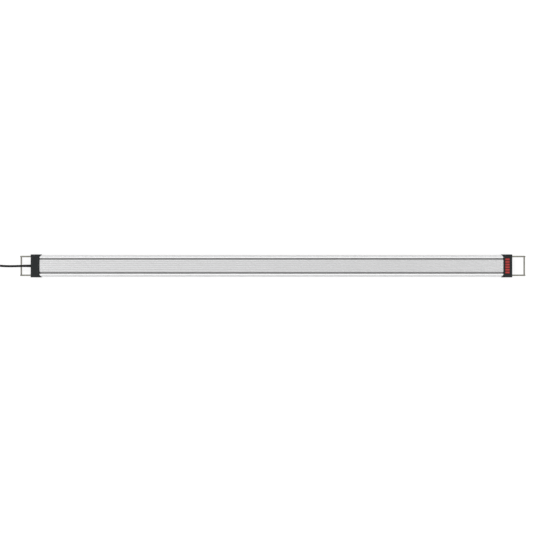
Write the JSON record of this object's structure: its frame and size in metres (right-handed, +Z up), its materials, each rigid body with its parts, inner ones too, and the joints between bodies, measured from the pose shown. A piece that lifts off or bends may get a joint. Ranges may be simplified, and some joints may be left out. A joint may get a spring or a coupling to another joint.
{
  "type": "led strip batten",
  "caption": "Slim aluminium LED light bar with black end caps, a pull-out wire bracket at each end, a clear cover below and a low-voltage lead.",
  "frame": {"origin": "on the surface that the bar stands on, midway between the outer faces of the two wire brackets and on the bar's centre line", "axes": "+X along the bar towards the end with the red insert, +Y across it, +Z up from the light side to the ribbed deck"},
  "size_m": [1.2273, 0.0524, 0.0229],
  "materials": {
    "anodised_aluminium": "satin silver anodised, fine lines along its length",
    "clear_cover": "clear acrylic",
    "silicone_seal": "matt grey silicone",
    "led_board": "white solder mask over an aluminium core",
    "thermal_pad": "matt blue-grey",
    "natural_nylon": "natural nylon",
    "black_plastic": "fine moulded texture",
    "red_lead": "smooth insulation",
    "black_lead": "smooth insulation",
    "steel_screw": "bright zinc plated",
    "red_insert": "satin red",
    "stainless_wire": "drawn stainless wire",
    "cable_jacket": "smooth black jacket",
    "tie_strap": "black hook-and-loop strap",
    "plug_moulding": "moulded black",
    "nickel_plate": "nickel plated"
  },
  "bodies": {
    "housing": {"housing_channel": "anodised_aluminium", "lens_cover": "clear_cover", "cover_seal_front": "silicone_seal", "cover_seal_rear": "silicone_seal", "led_board_1": "led_board", "led_board_2": "led_board", "led_board_3": "led_board", "thermal_pad_1": "thermal_pad", "thermal_pad_2": "thermal_pad", "thermal_pad_3": "thermal_pad", "board_link_1": "natural_nylon", "board_link_2": "natural_nylon", "power_socket": "natural_nylon", "current_regulator": "black_plastic", "lead_positive": "red_lead", "lead_negative": "black_lead", "end_cap_left": "black_plastic", "end_cap_right": "black_plastic", "end_gasket_left": "silicone_seal", "end_gasket_right": "silicone_seal", "cap_screw_left_front": "steel_screw", "cap_screw_left_rear": "steel_screw", "cap_screw_right_front": "steel_screw", "cap_screw_right_rear": "steel_screw", "cap_panel_left": "black_plastic", "cap_insert_right": "red_insert", "bracket_sleeve_left_front": "black_plastic", "bracket_sleeve_left_rear": "black_plastic", "bracket_sleeve_right_front": "black_plastic", "bracket_sleeve_right_rear": "black_plastic", "strain_relief": "black_plastic", "supply_cord": "cable_jacket", "cord_hank": "cable_jacket", "cord_tie": "tie_strap", "plug_body": "plug_moulding", "plug_barrel": "nickel_plate", "plug_insulator": "natural_nylon"},
    "left_bracket": {"wire_bracket_left": "stainless_wire"},
    "right_bracket": {"wire_bracket_right": "stainless_wire"}
  },
  "joints": [
    {"name": "left_bracket_slide", "type": "slide", "parent": "housing", "child": "left_bracket", "axis": [-1, 0, 0], "range_m": [-0.0145, 0.0595]},
    {"name": "right_bracket_slide", "type": "slide", "parent": "housing", "child": "right_bracket", "axis": [1, 0, 0], "range_m": [-0.0197, 0.0543]}
  ]
}
